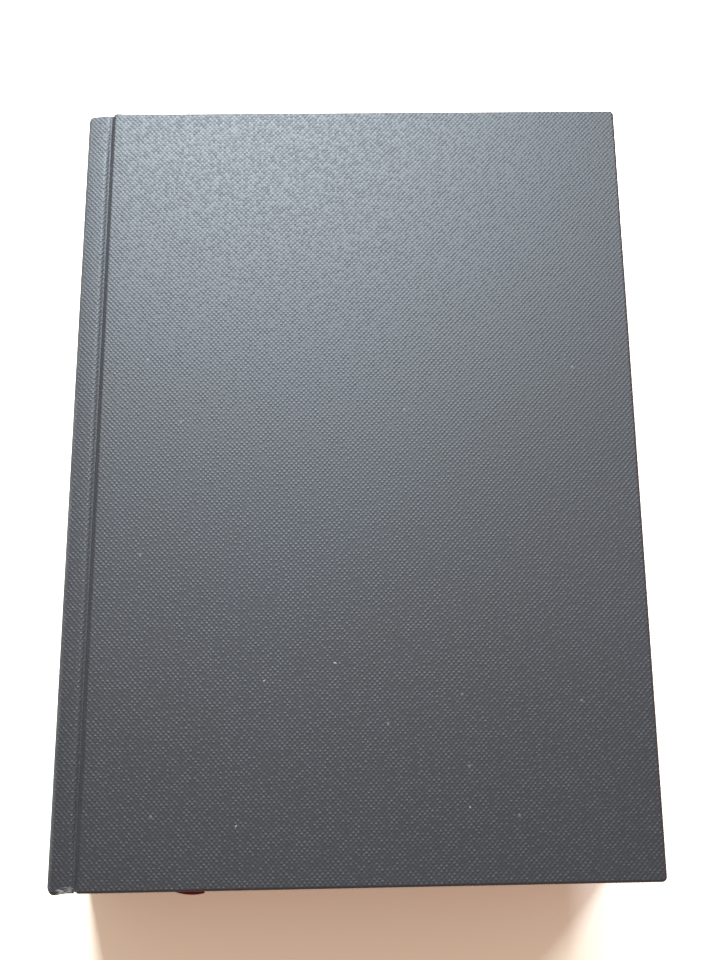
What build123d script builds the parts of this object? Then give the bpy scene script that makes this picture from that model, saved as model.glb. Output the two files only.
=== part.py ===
from build123d import *
import os

# A cloth-bound hardback book with a flat back and pressed joint grooves, lying on its back cover.
# +X points from the spine to the fore-edge, +Y from the tail to the head, +Z from the back cover to the
# front cover. The origin is the middle of the back cover's outer face. All sizes are in millimetres.

# Pages
page_width = 148.0
page_height = 210.0
block_thickness = 32.6
section_count = 20
fold_depth = 0.35
shoulder_height = 1.5
shoulder_crest = 0.35
shoulder_run = 1.3
shoulder_foot_radius = 0.9
shoulder_crest_radius = 0.3

# Sheet materials
cloth_thickness = 0.4
board_thickness = 2.4
spine_board_thickness = 2.2
endpaper_thickness = 0.2
mull_thickness = 0.3
lining_thickness = 0.2

# Case: how far the covers stand past the pages, and the joint between spine and cover board
square = 3.0
turn_in = 15.0
board_edge_radius = 0.3
cover_clearance = 0.1
hollow_depth = 0.9
strip_width = 5.3
strip_depth = 1.1
spine_edge_depth = 1.6
spine_edge_radius = 1.3
strip_edge_radius = 1.4
spine_end_radius = 1.5
groove_center = 7.0
groove_vertex_depth = 2.65
groove_radius = 0.45
board_lip = 8.5
board_lip_radius = 1.3
board_gap = 0.1
hinge_gap = 0.1

# Bands, mull and lining on the back of the pages
band_radius = 1.25
band_tongue = 12.0
mull_margin = 13.0
mull_lap = 0.7
lining_margin = 2.0

# Ribbon marker
ribbon_width = 8.0
ribbon_thickness = 0.25
ribbon_depth = 8.3
ribbon_glued_length = 30.0
ribbon_seat = 0.02
ribbon_play = 0.3
ribbon_slot_play = 0.1
ribbon_head_from_spine = 13.5
ribbon_tail_from_spine = 33.85
ribbon_tip_past_cover = 2.1

# Sizes that follow
turn_in_level = cloth_thickness + board_thickness
pastedown_level = turn_in_level + cloth_thickness
flyleaf_level = pastedown_level + endpaper_thickness + cover_clearance
block_level = flyleaf_level + endpaper_thickness
total_thickness = block_thickness + 2 * block_level
back_offset = (
    cloth_thickness + spine_board_thickness + hollow_depth + mull_thickness + lining_thickness
)
cover_width = back_offset + page_width + square
cover_height = page_height + 2 * square
spine_x = -cover_width / 2
fore_x = cover_width / 2
back_x = spine_x + back_offset
hinge_x = spine_x + groove_center
board_x = spine_x + board_lip + board_gap
mid_z = total_thickness / 2
middle_plane = Plane.XY.offset(mid_z)
touching = 0.01


def section_point(across, depth):
    """A point of the joint's section: mm from the spine's outer face, mm below the front cover."""
    return (spine_x + across, total_thickness - depth)


def along_book(section, length):
    """A solid with the given X-Z section, centred on the middle of the book's height."""
    return extrude(Plane.XZ * section, amount=length / 2, both=True)


def block_between(low, high):
    """A plain block from its lowest to its highest corner."""
    return Pos(*low) * Box(
        *[b - a for a, b in zip(low, high)], align=(Align.MIN, Align.MIN, Align.MIN)
    )


def mirrored(points):
    """The same points on the back cover's side, in reverse order."""
    return [(x, total_thickness - z) for x, z in reversed(points)]


def skin_outside(line, thickness):
    """The section of a sheet that lies on the right-hand side of an open line."""
    return make_face(offset(line, amount=thickness, side=Side.RIGHT))


# Text block: sewn sections whose folds make the back, bent outwards at both sides into shoulders

block_top = total_thickness - block_level
crest_z = block_top + shoulder_height
crest_start = back_x + shoulder_crest
foot_x = crest_start + shoulder_crest + shoulder_run
shoulder = [
    (foot_x, block_top),
    (crest_start + shoulder_crest, crest_z),
    (crest_start, crest_z),
    (back_x, crest_z - shoulder_crest),
]
page_end = (back_x + page_width, block_top)
back_radii = [shoulder_foot_radius, shoulder_crest_radius, shoulder_crest_radius, shoulder_crest_radius]
back_line = FilletPolyline(
    page_end,
    *shoulder,
    *mirrored([page_end, *shoulder]),
    radius=back_radii + back_radii[::-1],
)


def fold_gap(z):
    """The hollow between the rounded folds of two sections, where they meet at height z."""
    half = back_height / section_count / 2
    valley = (back_x + fold_depth, z)
    sides = [
        ThreePointArc((back_x, z + s * half), (back_x + fold_depth / 4, z + s * half / 2), valley)
        for s in (1, -1)
    ]
    return make_face([*sides, Line((back_x, z + half), (back_x, z - half))])


back_height = 2 * (crest_z - shoulder_crest - mid_z)
pages = along_book(
    make_face([back_line, Line(page_end, (page_end[0], total_thickness - block_top))]),
    page_height,
)
for i in range(1, section_count):
    pages -= along_book(fold_gap(mid_z + back_height * (i / section_count - 0.5)), page_height)

# Ribbon: glued to the back, turned over the head of the pages, folded once and slipped between them

ribbon_z = block_top - ribbon_depth
head_y = page_height / 2
half_ribbon = ribbon_width / 2
glued_bottom = mid_z - half_ribbon
glued_top = mid_z + half_ribbon
head_x = spine_x + ribbon_head_from_spine
tail_x = spine_x + ribbon_tail_from_spine
tip_y = -cover_height / 2 - ribbon_tip_past_cover
glued_x = back_x + ribbon_seat
first_layer = head_y + ribbon_seat
second_layer = first_layer + ribbon_thickness


def flat_on_head(corners, y):
    """A piece of ribbon that lies flat on the head of the pages, its corners in X and Z."""
    face = Plane.XZ.offset(-y - ribbon_thickness / 2) * Polygon(*corners, align=None)
    return extrude(face, amount=ribbon_thickness / 2, both=True)


def between_pages(margin, thickness, y_head, y_tail):
    """The ribbon's slanting run at its own level, or the room for it."""
    slant = (tail_x - head_x) / (tip_y - head_y)
    run = Polygon(
        *[
            (head_x + slant * (y - head_y) + side * (half_ribbon + margin), y)
            for y, side in [(y_head, -1), (y_head, 1), (y_tail, 1), (y_tail, -1)]
        ],
        align=None,
    )
    return extrude(Plane.XY.offset(ribbon_z) * run, amount=thickness / 2, both=True)


ribbon = block_between(
    (glued_x, head_y - ribbon_glued_length, glued_bottom),
    (glued_x + ribbon_thickness, second_layer, glued_top),
)
ribbon += flat_on_head(
    [
        (glued_x, glued_bottom),
        (head_x - half_ribbon, glued_bottom),
        (head_x + half_ribbon, glued_top),
        (glued_x, glued_top),
    ],
    first_layer,
)
ribbon += flat_on_head(
    [
        (head_x - half_ribbon, glued_bottom),
        (head_x + half_ribbon, glued_top),
        (head_x + half_ribbon, ribbon_z + ribbon_thickness / 2),
        (head_x - half_ribbon, ribbon_z + ribbon_thickness / 2),
    ],
    second_layer,
)
ribbon += between_pages(0, ribbon_thickness, second_layer + ribbon_thickness, tip_y)

glued_room = block_between(
    (back_x, head_y - ribbon_glued_length - ribbon_play, glued_bottom - ribbon_play),
    (glued_x + ribbon_thickness + ribbon_seat, head_y, glued_top + ribbon_play),
)
pages -= glued_room
pages -= between_pages(ribbon_play, ribbon_thickness + 2 * ribbon_slot_play, head_y, -head_y)

# Mull and lining paper on the back, and a half-round band with its tongue at head and tail

shoulder_slope = Line(shoulder[1], shoulder[0])
mull_end = shoulder_slope @ mull_lap
mull_points = [(mull_end.X, mull_end.Y), *shoulder[1:]]
mull_line = FilletPolyline(
    *mull_points,
    *mirrored(mull_points),
    radius=[shoulder_crest_radius] * (2 * len(mull_points) - 2),
)
mull = along_book(skin_outside(mull_line, mull_thickness), page_height - 2 * mull_margin)
lining = block_between(
    (back_x - mull_thickness - lining_thickness, lining_margin - head_y, mid_z - back_height / 2),
    (back_x - mull_thickness, head_y - lining_margin, mid_z + back_height / 2),
)

bead_x = back_x - mull_thickness + band_radius
bead = Pos(bead_x, head_y) * Circle(band_radius)
bead &= Pos(bead_x, head_y) * Rectangle(
    2 * band_radius, band_radius, align=(Align.CENTER, Align.MIN)
)
tongue = Pos(back_x, head_y) * Rectangle(
    mull_thickness, band_tongue, align=(Align.MAX, Align.MAX)
)
head_band = extrude(
    Plane.XY.offset(mid_z - block_thickness / 2) * (bead + tongue), amount=block_thickness
)
tail_band = mirror(head_band, Plane.XZ)
head_band -= block_between(
    (back_x - mull_thickness, head_y, glued_bottom - ribbon_play),
    (bead_x + band_radius, second_layer + ribbon_slot_play, glued_top + ribbon_play),
)

# Front cover: board, cloth drawn over its edges with turned-in margins, and the pastedown over them

joint_line = [
    section_point(0, spine_edge_depth),
    section_point(strip_width, strip_depth),
    section_point(groove_center, groove_vertex_depth),
    section_point(board_lip, 0),
]
joint_radii = [spine_edge_radius, strip_edge_radius, groove_radius, board_lip_radius]
case_line = FilletPolyline(
    section_point(0, total_thickness / 2),
    *joint_line,
    (fore_x, total_thickness),
    radius=joint_radii,
)
inside_line = offset(case_line, amount=cloth_thickness, side=Side.RIGHT, closed=False)


def under_line(line, fore_end, bottom_depth):
    """The section below a case line, from the hinge to fore_end and down to bottom_depth."""
    first, last = line @ 0, line @ 1
    everything = make_face(
        [line, Line(last, (last.X, 0)), Line((last.X, 0), (first.X, 0)), Line((first.X, 0), first)]
    )
    bottom = total_thickness - bottom_depth
    window = Pos(hinge_x + hinge_gap / 2, bottom) * Rectangle(
        fore_end - hinge_x - hinge_gap / 2, total_thickness - bottom, align=(Align.MIN, Align.MIN)
    )
    return everything & window


def rim_rounded(inset, bottom_depth, radius):
    """A slab with the cover's outline, set in by inset and rounded along the head, tail and fore-edge."""
    slab = block_between(
        (spine_x, inset - cover_height / 2, total_thickness - bottom_depth),
        (fore_x - inset, cover_height / 2 - inset, total_thickness - inset),
    )
    free_edges = [e for e in slab.edges() if e.center().X > spine_x + touching]
    return fillet(free_edges, radius)


cover_outside = along_book(under_line(case_line, fore_x, pastedown_level), cover_height)
cover_outside &= rim_rounded(0, pastedown_level, board_edge_radius + cloth_thickness)
cover_inside = along_book(under_line(inside_line, fore_x, turn_in_level), cover_height)
cover_inside &= rim_rounded(cloth_thickness, turn_in_level, board_edge_radius)
window_y = cover_height / 2 - turn_in
window_x = fore_x - turn_in
turned_in_z = total_thickness - turn_in_level
pasted_z = total_thickness - pastedown_level
leaf_start = hinge_x + hinge_gap / 2
turn_in_window = block_between((hinge_x, -window_y, pasted_z), (window_x, window_y, turned_in_z))
front_cloth = cover_outside - cover_inside - turn_in_window

front_board = block_between(
    (board_x, cloth_thickness - cover_height / 2, turned_in_z),
    (
        fore_x - cloth_thickness,
        cover_height / 2 - cloth_thickness,
        total_thickness - cloth_thickness,
    ),
)
pressed_edge = front_board.edges().filter_by(Axis.Y).sort_by(Axis.X)[:2].sort_by(Axis.Z)[-1]
front_board = fillet(pressed_edge, board_lip_radius - cloth_thickness)
other_edges = [e for e in front_board.edges() if e.center().X > board_x + board_lip_radius]
front_board = fillet(other_edges, board_edge_radius)

front_pastedown = block_between(
    (leaf_start, -head_y, pasted_z - endpaper_thickness), (page_end[0], head_y, pasted_z)
)
front_pastedown += block_between(
    (leaf_start, -window_y, pasted_z - endpaper_thickness), (window_x, window_y, turned_in_z)
)
front_pastedown -= block_between(
    (leaf_start, endpaper_thickness - window_y, pasted_z - endpaper_thickness),
    (
        window_x - endpaper_thickness,
        window_y - endpaper_thickness,
        turned_in_z - endpaper_thickness,
    ),
)
front_flyleaf = block_between(
    (leaf_start, -head_y, block_top), (page_end[0], head_y, block_top + endpaper_thickness)
)

# Spine: a stiff board in its own cloth, which runs from groove to groove and turns in at both ends

spine_line = FilletPolyline(
    *mirrored(joint_line),
    *joint_line,
    radius=joint_radii[2::-1] + joint_radii[:3],
)
spine_inner_x = spine_x + cloth_thickness + spine_board_thickness
spine_top_z = total_thickness - spine_edge_depth
spine_bottom_z = spine_edge_depth
spine_board = block_between(
    (
        spine_x + cloth_thickness,
        cloth_thickness - cover_height / 2,
        spine_bottom_z + cloth_thickness,
    ),
    (spine_inner_x, cover_height / 2 - cloth_thickness, spine_top_z - cloth_thickness),
)
end_edges = spine_board.edges().filter_by(Axis.Z).sort_by(Axis.X)[:2]
spine_board = fillet(end_edges, spine_end_radius - cloth_thickness)
flat_faces = [spine_board.faces().sort_by(Axis.Z)[i] for i in (0, -1)]
middle_x = spine_inner_x - spine_board_thickness / 2
outer_rims = [e for face in flat_faces for e in face.edges() if e.center().X < middle_x]
spine_board = fillet(outer_rims, spine_edge_radius - cloth_thickness)

spine_cloth = along_book(skin_outside(spine_line, cloth_thickness), cover_height)
spine_cloth &= block_between(
    (spine_x, -cover_height / 2, 0), (hinge_x - hinge_gap / 2, cover_height / 2, total_thickness)
)
for side in (-1, 1):
    end_y, filled_y, turned_y = [
        side * y for y in (cover_height / 2, cover_height / 2 - spine_end_radius, window_y)
    ]
    spine_cloth += block_between(
        (spine_inner_x, min(end_y, turned_y), spine_bottom_z),
        (spine_inner_x + cloth_thickness, max(end_y, turned_y), spine_top_z),
    )
    spine_cloth += block_between(
        (spine_x + cloth_thickness, min(end_y, filled_y), spine_bottom_z),
        (spine_inner_x, max(end_y, filled_y), spine_top_z),
    )
end_plan = Pos(spine_x, 0) * Rectangle(
    groove_center, cover_height, align=(Align.MIN, Align.CENTER)
)
end_plan = fillet(end_plan.vertices().sort_by(Axis.X)[:2], spine_end_radius)
spine_cloth &= extrude(end_plan, amount=total_thickness)
spine_cloth -= spine_board

PARTS = {
    "text_block": pages,
    "ribbon_marker": ribbon,
    "mull": mull,
    "spine_lining": lining,
    "head_band": head_band,
    "tail_band": tail_band,
    "spine_board": spine_board,
    "spine_cloth": spine_cloth,
    "front_cover_cloth": front_cloth,
    "front_board": front_board,
    "front_pastedown": front_pastedown,
    "front_flyleaf": front_flyleaf,
}
for name in [n for n in PARTS if n.startswith("front_")]:
    PARTS[name.replace("front_", "back_")] = mirror(PARTS[name], middle_plane)

os.makedirs("parts", exist_ok=True)
for name, shape in PARTS.items():
    export_step(shape, f"parts/{name}.step")
    print(name, shape.is_valid, len(shape.solids()), round(shape.volume, 2))
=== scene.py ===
# %% [markdown]
# # A cloth-bound hardback book
# This lesson dresses a closed hardback: a case of binder's board covered in slate-blue plain-weave cloth, a
# block of pages with red-stained edges, ivory endpapers, striped bands at head and tail, and a red ribbon
# marker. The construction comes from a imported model: every piece made here goes where that model says, in
# metres, with +X from the spine to the fore-edge, +Y from the tail to the head and +Z from the back cover
# to the front.

# %% Load the frame
import math
import bmesh
import bpy
from mathutils import Matrix, Vector


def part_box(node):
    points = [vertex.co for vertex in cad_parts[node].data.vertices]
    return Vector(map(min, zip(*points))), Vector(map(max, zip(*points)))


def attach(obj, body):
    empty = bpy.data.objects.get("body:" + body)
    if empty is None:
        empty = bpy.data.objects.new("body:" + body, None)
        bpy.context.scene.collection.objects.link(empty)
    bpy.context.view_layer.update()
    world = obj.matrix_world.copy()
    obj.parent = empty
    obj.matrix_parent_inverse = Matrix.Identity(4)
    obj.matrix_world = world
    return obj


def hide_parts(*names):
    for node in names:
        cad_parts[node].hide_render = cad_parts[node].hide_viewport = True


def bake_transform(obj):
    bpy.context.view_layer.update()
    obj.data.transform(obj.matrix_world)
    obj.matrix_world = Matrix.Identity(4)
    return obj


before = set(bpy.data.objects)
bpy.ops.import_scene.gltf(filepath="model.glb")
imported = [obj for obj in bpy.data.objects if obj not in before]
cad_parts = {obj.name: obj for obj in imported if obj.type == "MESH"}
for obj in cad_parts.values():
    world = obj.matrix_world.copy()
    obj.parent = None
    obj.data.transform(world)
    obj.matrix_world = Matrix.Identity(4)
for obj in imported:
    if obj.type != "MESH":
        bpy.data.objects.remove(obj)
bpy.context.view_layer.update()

MM = 0.001

# %% [markdown]
# ## Sizes
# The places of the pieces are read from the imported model, so the cloth and the papers follow it when it
# changes. Only corners of a piece's box are needed: the highest corner of the front cloth gives the top,
# the fore-edge and the head of the cover, and the lowest corner of the spine cloth gives the outer face of
# the spine.

# %% Read the places of the pieces
cloth_low, cloth_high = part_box("front_cover_cloth")
page_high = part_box("text_block")[1]
board_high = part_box("front_board")[1]
spine_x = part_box("spine_cloth")[0].x

top_z = cloth_high.z
fore_x = cloth_high.x
half_height = cloth_high.y
cover_depth = cloth_high.z - cloth_low.z
cloth_thick = cloth_high.z - board_high.z
print(f"cover {(fore_x - spine_x) / MM:.1f} x {2 * half_height / MM:.1f} mm, {top_z / MM:.1f} mm thick")

# %% [markdown]
# ## The joint and the wraps
# What a box can't tell is repeated here in millimetres, measured from the outer face of the spine and down
# from the face of the cover. Beside the spine lies a narrow strip, then the groove that the cover hinges
# in, then the rounded lip of the board. The last values say how the cloth goes over an edge: how tightly,
# how far it is turned in, and how thick it is where it lies double.

# %% Joint and wrap sizes, in millimetres
STRIP_WIDTH = 6.0
STRIP_DEPTH = 1.1
SPINE_EDGE_DEPTH = 1.6
SPINE_EDGE_RADIUS = 1.3
STRIP_EDGE_RADIUS = 2.0
GROOVE_CENTER = 6.95
GROOVE_VERTEX = 1.95
GROOVE_RADIUS = 0.4
BOARD_LIP = 8.0
BOARD_LIP_RADIUS = 1.0
SEAM = 4.0
SPINE_INSIDE = 3.0
DOUBLED_CLOTH = 0.8
TURN_IN = 15.0
RIM_RADIUS = 0.7
CORNER_RADIUS = 1.3
print("groove", GROOVE_CENTER, "mm from the spine, board lip at", BOARD_LIP, "mm")

# %% [markdown]
# ## Camera
# The photograph looks down on the book from a little towards its tail, so the head end is further away and
# smaller. The camera's place was solved from the cover's four edges. Its lens is the focal length in pixels
# over the long side of the frame, and a small shift puts the lens axis where the photograph has it.

# %% Camera
FRAME_WIDTH = 720
FRAME_HEIGHT = 960
FOCAL_PIXELS = 1100
AXIS_PIXEL = (401, 476)
CAMERA_PLACE = Vector((6.9, -73.4, 329.8)) * MM
CAMERA_FORWARD = Vector((0.0192, 0.237, -0.9713))
CAMERA_UP = Vector((0.0132, 0.9713, 0.2373))


def make_camera():
    data = bpy.data.cameras.new("view_camera")
    camera = bpy.data.objects.new("view_camera", data)
    bpy.context.scene.collection.objects.link(camera)
    data.lens = data.sensor_width * FOCAL_PIXELS / FRAME_HEIGHT
    data.shift_x = (FRAME_WIDTH / 2 - AXIS_PIXEL[0]) / FRAME_HEIGHT
    data.shift_y = (AXIS_PIXEL[1] - FRAME_HEIGHT / 2) / FRAME_HEIGHT
    data.clip_start = 0.01
    backward = -CAMERA_FORWARD.normalized()
    right = CAMERA_UP.cross(backward).normalized()
    turn = Matrix((right, backward.cross(right), backward)).transposed().to_4x4()
    camera.matrix_world = Matrix.Translation(CAMERA_PLACE) @ turn
    bpy.context.scene.camera = camera
    return camera


camera = make_camera()
lens_shift = [round(camera.data.shift_x, 4), round(camera.data.shift_y, 4)]
print("lens", round(camera.data.lens, 2), "mm, shift", lens_shift)

# %% [markdown]
# ## Shader helpers
# Every finish below is a small tree of nodes. These helpers keep such a tree readable: `node` adds one node
# and wires its inputs, `math_node` does the same for one sum, and `ramp` turns one range of values into
# another.

# %% Shader helpers
def new_material(name):
    """A material with its node tree and the shader that Blender puts in it."""
    material = bpy.data.materials.new(name)
    material.use_nodes = True
    tree = material.node_tree
    return material, tree, tree.nodes["Principled BSDF"]


def feed(tree, socket, value):
    """Wire a socket to another node's output, or set its plain value."""
    if isinstance(value, bpy.types.NodeSocket):
        tree.links.new(value, socket)
    else:
        socket.default_value = value


def node(tree, kind, inputs=None, **settings):
    """Add a node, set its options first and then feed its inputs."""
    made = tree.nodes.new(kind)
    for key, value in settings.items():
        setattr(made, key, value)
    for key, value in (inputs or {}).items():
        feed(tree, made.inputs[key], value)
    return made


def math_node(tree, operation, *values):
    made = tree.nodes.new("ShaderNodeMath")
    made.operation = operation
    for socket, value in zip(made.inputs, values):
        feed(tree, socket, value)
    return made.outputs[0]


def mix_colour(tree, share, first, second, blend="MIX"):
    """Mix the second colour over the first by a share, or blend the two in another way."""
    made = tree.nodes.new("ShaderNodeMix")
    made.data_type = "RGBA"
    made.blend_type = blend
    feed(tree, made.inputs[0], share)
    feed(tree, made.inputs[6], first)
    feed(tree, made.inputs[7], second)
    return made.outputs[2]


def stretched_noise(tree, coordinates, scale, **values):
    """Noise drawn out along the axes where scale is small."""
    mapping = node(tree, "ShaderNodeMapping", {"Vector": coordinates, "Scale": scale})
    inputs = {"Vector": mapping.outputs[0], "Scale": 1.0, **values}
    return node(tree, "ShaderNodeTexNoise", inputs).outputs[0]


def ramp(tree, value, low, high, out_low=0.0, out_high=1.0):
    """The value's range from low to high becomes out_low to out_high, and stays inside it."""
    ranges = {"From Min": low, "From Max": high, "To Min": out_low, "To Max": out_high}
    return node(tree, "ShaderNodeMapRange", {"Value": value, **ranges}).outputs[0]


def add_bump(tree, shader, height, distance, strength=1.0):
    """Let the light see a height that the mesh doesn't have."""
    bump = node(tree, "ShaderNodeBump", {"Height": height, "Distance": distance, "Strength": strength})
    tree.links.new(bump.outputs[0], shader.inputs["Normal"])


# %% [markdown]
# ## A path with rounded corners
# The cloth is bent along a section of the case: round the spine, down into the groove and up over the
# board. The section is a few corner points with a radius each. This helper walks along it and gives points
# evenly round every corner, as the fillet tool of a drawing programme does.

# %% Rounded path
ARC_STEPS = 7


def rounded_path(corners, radii):
    """Points along straight runs joined by tangent arcs."""
    points = [Vector(corners[0])]
    for before, corner, after, radius in zip(corners, corners[1:], corners[2:], radii):
        corner = Vector(corner)
        back = (Vector(before) - corner).normalized()
        ahead = (Vector(after) - corner).normalized()
        half = back.angle(ahead) / 2
        center = corner + (back + ahead).normalized() * radius / math.sin(half)
        start = corner + back * radius / math.tan(half) - center
        end = corner + ahead * radius / math.tan(half) - center
        for i in range(ARC_STEPS + 1):
            share = i / ARC_STEPS
            angle = start.angle(end)
            spoke = (start * math.sin((1 - share) * angle) + end * math.sin(share * angle)) / math.sin(angle)
            points.append(center + spoke)
    points.append(Vector(corners[-1]))
    return points


def lengths_along(points):
    """The distance from the first point to each point."""
    total = [0.0]
    for first, second in zip(points, points[1:]):
        total.append(total[-1] + (second - first).length)
    return total


def point_at(points, lengths, distance):
    """The point at a distance along the path."""
    for i in range(1, len(points)):
        if distance <= lengths[i] or i == len(points) - 1:
            span = lengths[i] - lengths[i - 1]
            return points[i - 1].lerp(points[i], (distance - lengths[i - 1]) / span)


# %% [markdown]
# ## Section of the case
# The outside path starts under the book, on the back side of the spine, runs round the spine and through
# the front groove, and ends near the fore-edge. The inside path is where the turned-in cloth comes to lie:
# close under the outside in the groove, behind the spine board, and under the cover board. Every point of
# one has its partner on the other, so the cloth can be turned from one to the other at the head and the
# tail.

# %% Section of the case
SEAM_DEPTH = STRIP_DEPTH + 0.09
total_mm = top_z / MM
core_end = (fore_x - spine_x) / MM - CORNER_RADIUS
cover_mm = cover_depth / MM

front_outside = [
    (SEAM, total_mm - SEAM_DEPTH),
    (0, total_mm - SPINE_EDGE_DEPTH),
    (0, SPINE_EDGE_DEPTH),
    (STRIP_WIDTH, STRIP_DEPTH),
    (GROOVE_CENTER, GROOVE_VERTEX),
    (BOARD_LIP, 0),
    (core_end, 0),
]
front_radii = [SPINE_EDGE_RADIUS, SPINE_EDGE_RADIUS, STRIP_EDGE_RADIUS, GROOVE_RADIUS, BOARD_LIP_RADIUS]
back_outside = [(SEAM, SEAM_DEPTH), *front_outside[3:]]
back_radii = front_radii[2:]

front_path = rounded_path(front_outside, front_radii)
front_lengths = lengths_along(front_path)
spine_edge_u = front_lengths[ARC_STEPS + 2 + ARC_STEPS // 2]
print("cloth from the seam to the spine's front edge:", round(spine_edge_u, 2), "mm")


def inside_of(across, depth):
    """Where the turned-in cloth lies, for a point of the outside of the case."""
    if across > BOARD_LIP:
        return Vector((across, depth + cover_mm))
    if across > GROOVE_CENTER:
        share = (across - GROOVE_CENTER) / (BOARD_LIP - GROOVE_CENTER)
        return Vector((across, depth * (1 - share) + DOUBLED_CLOTH + (cover_mm - DOUBLED_CLOTH) * share))
    if across > STRIP_WIDTH - 1:
        return Vector((across, depth + DOUBLED_CLOTH * (1 if depth < total_mm / 2 else -1)))
    room = SPINE_EDGE_DEPTH + 2 * DOUBLED_CLOTH
    kept = min(max(depth, room), total_mm - room)
    return Vector((SPINE_INSIDE, kept))


# %% [markdown]
# ## Wear, lint and painted light
# Book cloth wears first where it is handled: along the front edge of the spine, which is lighter, partly
# rubbed and partly painted rim light, and at the tail end of the spine, where the threads fray. Along the
# tail and fore edges lies a thin band of painted red bounce light, and a few fibres of lint lie on the dark
# front. Each is a share from 0 to 1 that later mixes a colour over the cloth. The places are measured on
# the flat cloth, in millimetres from the seam and from the middle of its length.

# %% Wear, lint and painted light
# The lighter colour along the front edge of the spine: partly rubbed wear, partly painted rim light.
RUBBED_AND_RIM_LIGHT = (0.25, 0.244, 0.238, 1)
RUBBED_AND_LIT_REACH = (1.3 * MM, 0.3 * MM)
FRAYED = (0.80, 0.78, 0.74, 1)
FRAY_PLACE = (spine_edge_u + 4.9, 0.1 - half_height / MM)
FRAY_SIZE = (3.2, 1.6)
# Painted red bounce light, in a thin band along the tail and fore edges.
RED_BOUNCE_LIGHT = (0.060, 0.016, 0.013, 1)
RED_BOUNCE_SHARE = 0.7
RED_BOUNCE_START = (-0.9 * MM, -0.35 * MM)
RED_BOUNCE_END = (0.2 * MM, 0.9 * MM)
LINT = (0.74, 0.81, 0.86, 1)
FIBRE_HALF_WIDTH = 0.12
# Each fibre: across from the spine, along from the middle, length, turn in radians
LINT_FIBRES = [
    (72.1, -52.5, 0.9, 0.2),
    (106.1, -89.1, 0.6, 1.2),
    (53.7, -56.8, 0.5, 0.0),
    (47.1, -92.6, 0.7, -0.7),
]


def oval(tree, flat, place, size, turn=0.0):
    """The distance from a place on the flat cloth, in units of an oval's half sizes; all in millimetres."""
    moved = node(tree, "ShaderNodeVectorMath", {0: flat, 1: Vector((*place, 0)) * MM}, operation="SUBTRACT")
    turned = node(tree, "ShaderNodeMapping", {"Vector": moved.outputs[0], "Rotation": (0, 0, turn)})
    per_half = (1 / (size[0] * MM), 1 / (size[1] * MM), 0)
    scaled = node(tree, "ShaderNodeVectorMath", {0: turned.outputs[0], 1: per_half}, operation="MULTIPLY")
    return node(tree, "ShaderNodeVectorMath", {0: scaled.outputs[0]}, operation="LENGTH").outputs["Value"]


def rubbed_and_lit_edge(tree, flat, place):
    """Lighter patches along the front edge of the spine, partly wear and partly painted rim light."""
    patches = stretched_noise(tree, flat, (260, 90, 1), Detail=3.0)
    beside = math_node(tree, "ABSOLUTE", math_node(tree, "SUBTRACT", place.outputs[0], spine_edge_u * MM))
    near = ramp(tree, beside, *RUBBED_AND_LIT_REACH)
    return math_node(tree, "MULTIPLY", near, ramp(tree, patches, 0.3, 0.6, 0.35, 0.8))


def frayed_tail(tree, flat):
    """Bare thread ends in an oval at the tail of the spine."""
    streaks = stretched_noise(tree, flat, (350, 2200, 1), Detail=3.0)
    near = ramp(tree, oval(tree, flat, FRAY_PLACE, FRAY_SIZE), 1.0, 0.5)
    return math_node(tree, "MULTIPLY", near, ramp(tree, streaks, 0.45, 0.54))


def red_bounce_band(tree, place):
    """Painted red bounce light, in a band from just before the tail and fore edges to just past them."""
    past_tail = math_node(tree, "SUBTRACT", math_node(tree, "MULTIPLY", place.outputs[1], -1.0), half_height)
    past_fore = math_node(tree, "SUBTRACT", place.outputs[0], (front_lengths[-1] + CORNER_RADIUS) * MM)
    past = math_node(tree, "MAXIMUM", past_tail, past_fore)
    begun = ramp(tree, past, *RED_BOUNCE_START, 0.0, RED_BOUNCE_SHARE)
    return math_node(tree, "SUBTRACT", begun, ramp(tree, past, *RED_BOUNCE_END, 0.0, RED_BOUNCE_SHARE))


def lint(tree, flat):
    """A few short fibres on the front cover."""
    share = 0.0
    for across, along, length, turn in LINT_FIBRES:
        place = (front_lengths[-1] - core_end + across, along)
        distance = oval(tree, flat, place, (length / 2, FIBRE_HALF_WIDTH), turn)
        share = math_node(tree, "MAXIMUM", share, math_node(tree, "LESS_THAN", distance, 1.0))
    return share


# %% [markdown]
# ## Book cloth
# The case is covered in a plain weave: each thread passes over one and under the next, so the tops of the
# threads make a fine chequerboard. The pattern reads the piece's own UV map, which holds the flat cloth in
# metres, so it follows the cloth round every edge. The product of two sine waves, one across each set of
# threads, gives that chequer, with painted shade in the valley between the rounded weft threads. Noise
# drawn out along the threads and a chance value for every crossing make them uneven, as spun threads are.

# %% Weave
WARP_PITCH = 0.645 * MM
WEFT_PITCH = 0.69 * MM
WEFT_OFFSET = 0.37
WAVER_SCALE = 330
WAVER_THREADS = 0.9
CLOTH_DARK = (0.0285, 0.0255, 0.0325, 1)
CLOTH_LIGHT = (0.0415, 0.0375, 0.0485, 1)
# Painted shade in the valleys between the weft threads.
VALLEY_SHADE = (0.010, 0.009, 0.010, 1)
WARM_CLOUD = (0.95, 0.89, 0.87, 1)
COOL_CLOUD = (1.05, 1.11, 1.18, 1)
CROSSING_CHANGE = 0.16


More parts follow.
